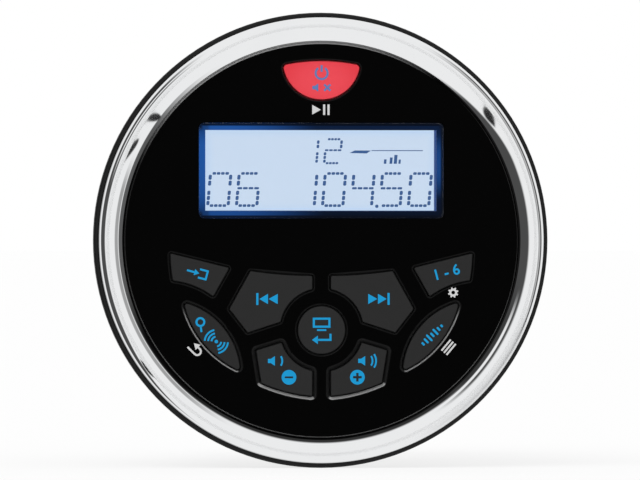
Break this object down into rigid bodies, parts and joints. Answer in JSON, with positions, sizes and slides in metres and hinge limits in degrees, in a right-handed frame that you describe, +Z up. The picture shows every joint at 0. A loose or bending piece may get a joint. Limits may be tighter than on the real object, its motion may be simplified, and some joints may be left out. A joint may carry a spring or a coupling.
{
  "type": "marine stereo",
  "caption": "Round flush-mount marine stereo with chrome ring, lit display, shaped keys, and a can held behind the dash by a U bracket and wing nuts.",
  "frame": {"origin": "centre of the dash seat, where the rear face of the panel gasket meets the dash", "axes": "+Y back through the dash along the can, +Z up, +X to the right of someone facing the keys; the face looks along -Y"},
  "size_m": [0.108, 0.096, 0.108],
  "materials": {
    "chrome_trim": "polished",
    "gloss_black": "high gloss",
    "clear_window": "clear",
    "blue_glow": "translucent, lit from behind",
    "display_glass": "lit display",
    "light_guide": "frosted",
    "white_plastic": "satin",
    "grey_rubber": "matte",
    "lamp": "clear resin",
    "black_rubber": "matte",
    "circuit_board": "solder mask",
    "zinc_steel": "zinc plated",
    "satin_black": "fine moulded grain",
    "black_foam": "closed-cell foam",
    "chip_black": "matte",
    "tin_plate": "tin plated",
    "capacitor_sleeve": "sleeve",
    "copper_winding": "enamelled copper",
    "cast_aluminium": "cast, blasted",
    "black_anodised": "extruded, black anodised",
    "legend_blue": "printed, lit from behind",
    "mark_white": "printed",
    "display_ink": "liquid crystal segments",
    "stainless": "stainless, brushed",
    "nickel_plate": "nickel plated",
    "key_charcoal": "fine matte",
    "key_red": "satin, lit from behind"
  },
  "bodies": {
    "chassis": {"bezel_ring": "chrome_trim", "fascia": "gloss_black", "display_window": "clear_window", "window_seal": "blue_glow", "lcd_glass": "display_glass", "light_guide": "light_guide", "lcd_frame": "white_plastic", "lcd_strips": "grey_rubber", "backlight_leds": "lamp", "keypad": "grey_rubber", "contact_pills": "black_rubber", "key_leds": "lamp", "front_board": "circuit_board", "board_screws": "zinc_steel", "face_housing": "satin_black", "face_seal": "black_rubber", "fascia_screws": "zinc_steel", "panel_gasket": "black_foam", "rear_can": "satin_black", "can_screws": "zinc_steel", "main_board": "circuit_board", "board_link": "white_plastic", "processor_chip": "chip_black", "tuner_module": "tin_plate", "wireless_module": "tin_plate", "filter_capacitors": "capacitor_sleeve", "choke_coil": "copper_winding", "amp_chip": "chip_black", "thermal_pad": "grey_rubber", "amp_clamp": "zinc_steel", "clamp_screws": "zinc_steel", "rear_cover": "cast_aluminium", "upper_heat_sink": "black_anodised", "lower_heat_sink": "black_anodised", "rear_seal": "black_rubber", "rear_screws": "stainless", "harness_gland": "black_rubber", "signal_gland": "black_rubber", "antenna_socket": "nickel_plate", "mounting_studs": "stainless"},
    "power_key": {"power_key": "key_red"},
    "source_key": {"source_key": "key_charcoal"},
    "preset_key": {"preset_key": "key_charcoal"},
    "previous_key": {"previous_key": "key_charcoal"},
    "next_key": {"next_key": "key_charcoal"},
    "band_key": {"band_key": "key_charcoal"},
    "audio_key": {"audio_key": "key_charcoal"},
    "enter_key": {"enter_key": "key_charcoal"},
    "volume_down_key": {"volume_down_key": "key_charcoal"},
    "volume_up_key": {"volume_up_key": "key_charcoal"},
    "bracket": {"mounting_bracket": "stainless", "washers": "stainless"},
    "wing_nut_left": {"wing_nut_left": "stainless"},
    "wing_nut_right": {"wing_nut_right": "stainless"}
  },
  "joints": [
    {"name": "power_press", "type": "slide", "parent": "chassis", "child": "power_key", "axis": [0, 1, 0], "range_m": [0, 0.0006], "stiffness_N_per_m": 800, "deforming": ["keypad"]},
    {"name": "source_press", "type": "slide", "parent": "chassis", "child": "source_key", "axis": [0, 1, 0], "range_m": [0, 0.0006], "stiffness_N_per_m": 800, "deforming": ["keypad"]},
    {"name": "preset_press", "type": "slide", "parent": "chassis", "child": "preset_key", "axis": [0, 1, 0], "range_m": [0, 0.0006], "stiffness_N_per_m": 800, "deforming": ["keypad"]},
    {"name": "previous_press", "type": "slide", "parent": "chassis", "child": "previous_key", "axis": [0, 1, 0], "range_m": [0, 0.0006], "stiffness_N_per_m": 800, "deforming": ["keypad"]},
    {"name": "next_press", "type": "slide", "parent": "chassis", "child": "next_key", "axis": [0, 1, 0], "range_m": [0, 0.0006], "stiffness_N_per_m": 800, "deforming": ["keypad"]},
    {"name": "band_press", "type": "slide", "parent": "chassis", "child": "band_key", "axis": [0, 1, 0], "range_m": [0, 0.0006], "stiffness_N_per_m": 800, "deforming": ["keypad"]},
    {"name": "audio_press", "type": "slide", "parent": "chassis", "child": "audio_key", "axis": [0, 1, 0], "range_m": [0, 0.0006], "stiffness_N_per_m": 800, "deforming": ["keypad"]},
    {"name": "enter_press", "type": "slide", "parent": "chassis", "child": "enter_key", "axis": [0, 1, 0], "range_m": [0, 0.0006], "stiffness_N_per_m": 800, "deforming": ["keypad"]},
    {"name": "volume_down_press", "type": "slide", "parent": "chassis", "child": "volume_down_key", "axis": [0, 1, 0], "range_m": [0, 0.0006], "stiffness_N_per_m": 800, "deforming": ["keypad"]},
    {"name": "volume_up_press", "type": "slide", "parent": "chassis", "child": "volume_up_key", "axis": [0, 1, 0], "range_m": [0, 0.0006], "stiffness_N_per_m": 800, "deforming": ["keypad"]},
    {"name": "bracket_slide", "type": "slide", "parent": "chassis", "child": "bracket", "axis": [0, -1, 0], "range_m": [0, 0.012]},
    {"name": "nut_left_turn", "type": "hinge", "parent": "bracket", "child": "wing_nut_left", "pos_m": [-0.025, 0.066, 0], "axis": [0, -1, 0], "range_deg": [0, 5400]},
    {"name": "nut_right_turn", "type": "hinge", "parent": "bracket", "child": "wing_nut_right", "pos_m": [0.025, 0.066, 0], "axis": [0, -1, 0], "range_deg": [0, 5400]}
  ],
  "couplings": [
    {"joint": "nut_left_turn", "follows": "bracket_slide", "rad_per_m": 7854},
    {"joint": "nut_right_turn", "follows": "bracket_slide", "rad_per_m": 7854}
  ]
}
